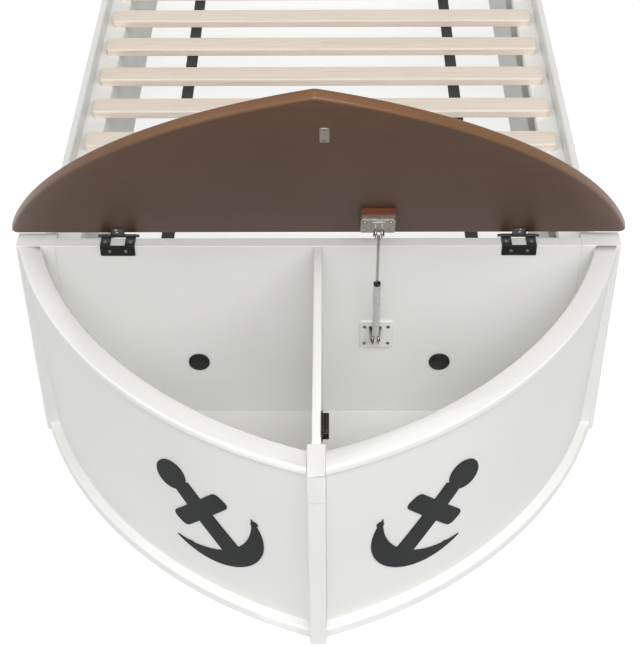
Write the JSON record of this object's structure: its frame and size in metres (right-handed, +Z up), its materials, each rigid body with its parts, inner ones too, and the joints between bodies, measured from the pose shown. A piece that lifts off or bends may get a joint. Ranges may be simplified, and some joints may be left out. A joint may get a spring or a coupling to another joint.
{
  "type": "captains bed",
  "caption": "Child's captain's bed: boat-bow toy box with curved flared sides and a hinged lid at the foot, slatted mattress bay, arched headboard.",
  "frame": {"origin": "on the floor, under the middle of the whole bed's box", "axes": "+Z up, +Y from the bow at the foot toward the headboard, +X to the right seen from the bow"},
  "size_m": [1.0898, 2.5589, 0.9657],
  "materials": {
    "white_paint": "satin white lacquer",
    "navy_board": "matt",
    "stained_lid": "stained, thin satin lacquer",
    "stained_block": "stained",
    "pale_slat": "sanded bare",
    "strap_web": "woven",
    "black_steel": "satin black",
    "screw_steel": "dark zinc",
    "black_plastic": "moulded",
    "catch_plastic": "moulded",
    "zinc_steel": "zinc plated",
    "white_plate": "white enamel",
    "tube_enamel": "grey enamel",
    "rod_chrome": "polished"
  },
  "bodies": {
    "root": {"base_rail_left": "white_paint", "base_rail_right": "white_paint", "hull_panel_left": "white_paint", "hull_panel_right": "white_paint", "rim_rail_left": "white_paint", "rim_rail_right": "white_paint", "stem": "white_paint", "stem_cap": "white_paint", "corner_post_left": "white_paint", "corner_post_right": "white_paint", "bulkhead": "white_paint", "vent_rings": "black_plastic", "vent_caps": "black_plastic", "box_floor": "white_paint", "floor_battens": "white_paint", "divider": "white_paint", "anchor_left": "navy_board", "anchor_right": "navy_board", "hinge_base_left": "black_steel", "hinge_base_right": "black_steel", "hinge_pin_left": "black_steel", "hinge_pin_right": "black_steel", "hinge_wall_screws": "screw_steel", "catch_housing": "catch_plastic", "catch_poles": "zinc_steel", "strut_wall_plate": "white_plate", "strut_wall_fork": "zinc_steel", "strut_wall_pin": "black_steel", "strut_wall_screws": "screw_steel", "side_rail_left": "white_paint", "side_rail_right": "white_paint", "slat_ledge_left": "white_paint", "slat_ledge_right": "white_paint", "plinth_left": "white_paint", "plinth_right": "white_paint", "strap_left": "strap_web", "strap_right": "strap_web", "slats": "pale_slat", "headboard_post_left": "white_paint", "headboard_post_right": "white_paint", "headboard_top_rail": "white_paint", "headboard_bottom_rail": "white_paint", "headboard_panel": "white_paint"},
    "lid": {"lid": "stained_lid", "hinge_leaf_left": "black_steel", "hinge_leaf_right": "black_steel", "hinge_lid_screws": "screw_steel", "strike_plate": "zinc_steel", "strut_spacer": "stained_block", "strut_lid_plate": "zinc_steel", "strut_lid_fork": "zinc_steel", "strut_lid_screws": "screw_steel"},
    "strut_tube": {"strut_tube": "tube_enamel", "strut_gland": "black_plastic"},
    "strut_rod": {"strut_rod": "rod_chrome", "strut_piston": "black_plastic", "strut_lid_pin": "black_steel"}
  },
  "joints": [
    {"name": "lid_hinge", "type": "hinge", "parent": "root", "child": "lid", "pos_m": [0, -0.6875, 0.459], "axis": [1, 0, 0], "range_deg": [0, 55], "stiffness_Nm_per_rad": 4.2, "springref_deg": -108.86},
    {"name": "tube_swing", "type": "hinge", "parent": "root", "child": "strut_tube", "pos_m": [0.105, -0.7345, 0.252], "axis": [1, 0, 0], "range_deg": [0, 10.5]},
    {"name": "rod_slide", "type": "slide", "parent": "strut_tube", "child": "strut_rod", "axis": [0, -0.139, 0.9903], "range_m": [-0.094, 0]}
  ],
  "couplings": [
    {"joint": "tube_swing", "follows": "lid_hinge", "ratio": 0.1864},
    {"joint": "rod_slide", "follows": "lid_hinge", "m_per_rad": -0.096482}
  ]
}
